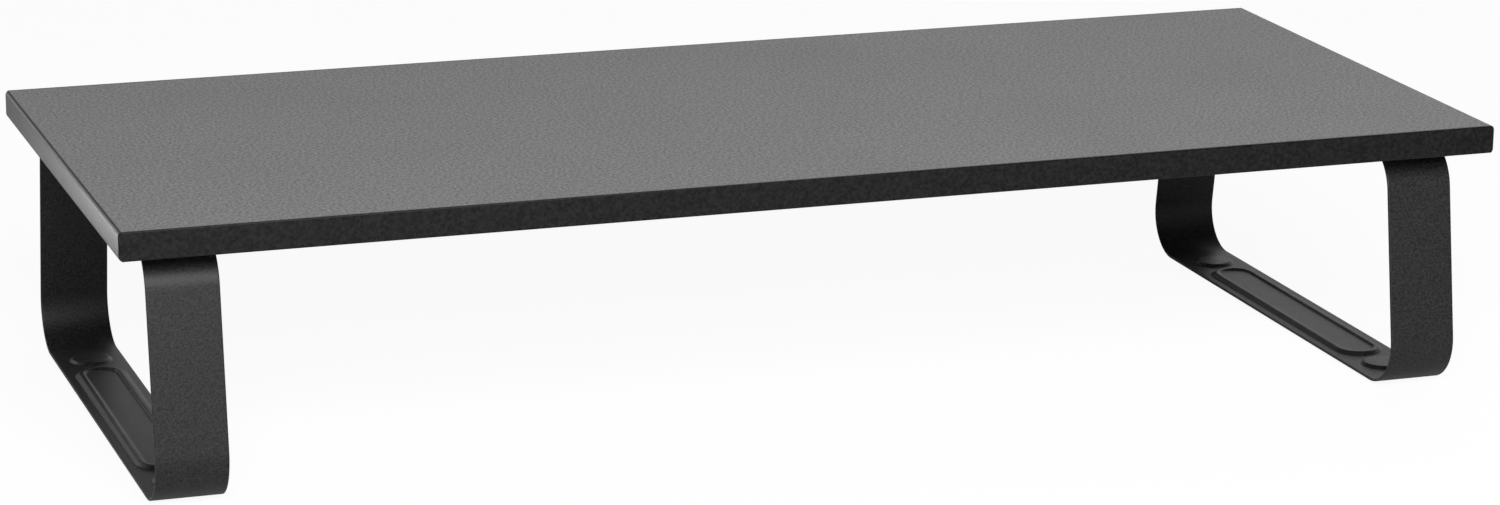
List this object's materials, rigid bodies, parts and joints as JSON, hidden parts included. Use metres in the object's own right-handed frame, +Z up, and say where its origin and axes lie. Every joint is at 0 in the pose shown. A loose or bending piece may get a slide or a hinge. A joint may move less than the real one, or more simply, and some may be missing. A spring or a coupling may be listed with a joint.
{
  "type": "desktop monitor riser",
  "caption": "Low desktop riser: a flat rectangular laminated board on two bent steel strap legs with rubber feet, for raising a monitor or laptop above a desk.",
  "frame": {"origin": "on the desk, under the middle of the board, which is within 1 mm of the middle of the whole riser's footprint", "axes": "+X along the board's width, -Y towards the front, +Z up"},
  "size_m": [0.6, 0.2542, 0.1185],
  "materials": {
    "board_fibre": "raw fibreboard",
    "board_laminate": "matt black melamine with a fine grain",
    "board_edge": "matt black edge band",
    "leg_powder_coat": "fine-textured satin black powder coat",
    "screw_steel": "blackened steel",
    "foot_rubber": "matt rubber"
  },
  "bodies": {
    "root": {"board_core": "board_fibre", "top_laminate": "board_laminate", "bottom_laminate": "board_laminate", "edge_band_front": "board_edge", "edge_band_rear": "board_edge", "edge_band_left": "board_edge", "edge_band_right": "board_edge", "leg_left": "leg_powder_coat", "leg_right": "leg_powder_coat", "screw_1": "screw_steel", "screw_2": "screw_steel", "screw_3": "screw_steel", "screw_4": "screw_steel", "screw_5": "screw_steel", "screw_6": "screw_steel", "screw_7": "screw_steel", "screw_8": "screw_steel", "rubber_foot_front_left": "foot_rubber", "rubber_foot_front_right": "foot_rubber", "rubber_foot_rear_left": "foot_rubber", "rubber_foot_rear_right": "foot_rubber"}
  },
  "joints": []
}
